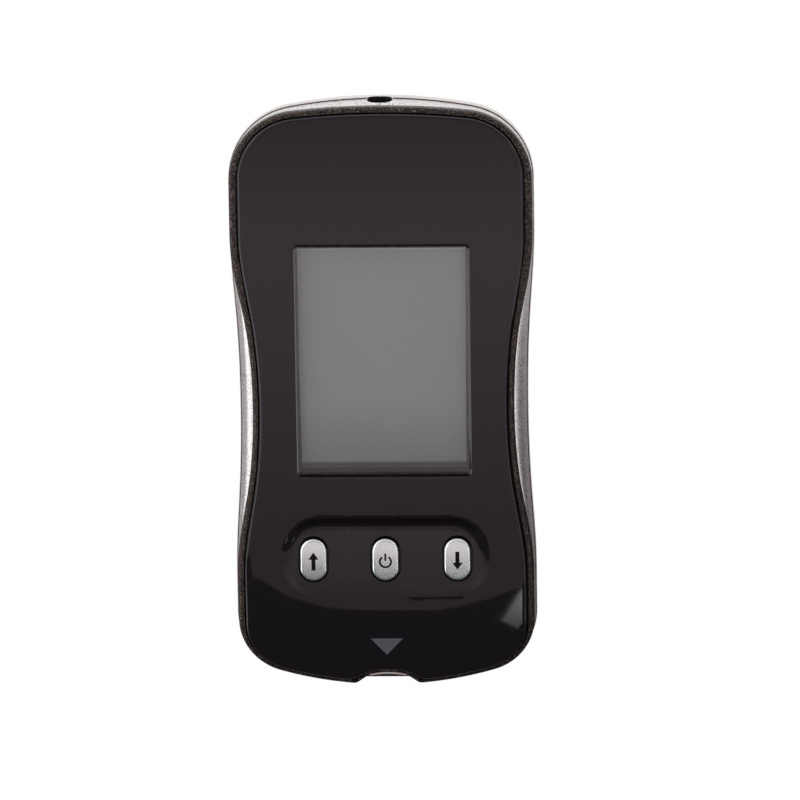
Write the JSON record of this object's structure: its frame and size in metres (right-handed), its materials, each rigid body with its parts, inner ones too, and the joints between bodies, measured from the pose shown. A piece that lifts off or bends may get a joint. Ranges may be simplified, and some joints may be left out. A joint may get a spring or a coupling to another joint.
{
  "type": "blood glucose meter",
  "caption": "Handheld blood glucose meter with a waisted case, segment display, three sprung keys, strip port, data socket and a sliding battery door.",
  "frame": {"origin": "centre of the bounding box at the back plane, on which the meter lies", "axes": "+Z out of the face, +Y towards the data socket end, -Y towards the strip port, X across"},
  "size_m": [0.047, 0.093, 0.015],
  "materials": {
    "silver_shell": "satin metallic silver paint",
    "dark_rim": "fine-grained dark metallic",
    "gloss_black": "high gloss",
    "clear_window": "clear, polished",
    "mark_grey": "printed grey",
    "key_silver": "satin silver",
    "silicone": "matt",
    "dome_steel": "stamped",
    "circuit_board": "solder mask",
    "display_glass": "grey reflective display",
    "reflector_film": "satin film",
    "holder_plastic": "moulded",
    "zebra_rubber": "banded",
    "foam": "closed-cell foam",
    "black_plastic": "moulded",
    "gold_contact": "plated",
    "chip_black": "moulded epoxy",
    "can_steel": "drawn can",
    "cell_steel": "nickel-plated",
    "screw_steel": "zinc-plated",
    "label_film": "blank matt film"
  },
  "bodies": {
    "meter": {"rear_case": "silver_shell", "middle_frame": "silver_shell", "bezel_frame": "dark_rim", "face_panel": "gloss_black", "port_mark": "mark_grey", "window_lens": "clear_window", "window_gasket": "foam", "lcd_glass": "display_glass", "lcd_reflector": "reflector_film", "lcd_holder": "holder_plastic", "zebra_strip": "zebra_rubber", "keypad_mat": "silicone", "snap_domes": "dome_steel", "main_board": "circuit_board", "buzzer": "black_plastic", "microcontroller": "chip_black", "memory_chip": "chip_black", "crystal": "can_steel", "chip_components": "chip_black", "strip_guide": "black_plastic", "strip_connector": "black_plastic", "strip_contacts": "gold_contact", "data_jack": "black_plastic", "jack_contacts": "gold_contact", "coin_cell_lower": "cell_steel", "coin_cell_upper": "cell_steel", "negative_contacts": "gold_contact", "positive_contacts": "gold_contact", "case_screws": "screw_steel", "board_screws": "screw_steel", "rear_label": "label_film"},
    "up_key": {"key_up": "key_silver"},
    "power_key": {"key_power": "key_silver"},
    "down_key": {"key_down": "key_silver"},
    "door": {"battery_door": "silver_shell", "battery_pad": "foam"}
  },
  "joints": [
    {"name": "key_up_press", "type": "slide", "parent": "meter", "child": "up_key", "axis": [0, 0, -1], "range_m": [0, 0.0006], "stiffness_N_per_m": 1200, "springref_m": -0.0008},
    {"name": "key_power_press", "type": "slide", "parent": "meter", "child": "power_key", "axis": [0, 0, -1], "range_m": [0, 0.0006], "stiffness_N_per_m": 1200, "springref_m": -0.0008},
    {"name": "key_down_press", "type": "slide", "parent": "meter", "child": "down_key", "axis": [0, 0, -1], "range_m": [0, 0.0006], "stiffness_N_per_m": 1200, "springref_m": -0.0008},
    {"name": "door_slide", "type": "slide", "parent": "meter", "child": "door", "axis": [0, 1, 0], "range_m": [0, 0.047]}
  ]
}
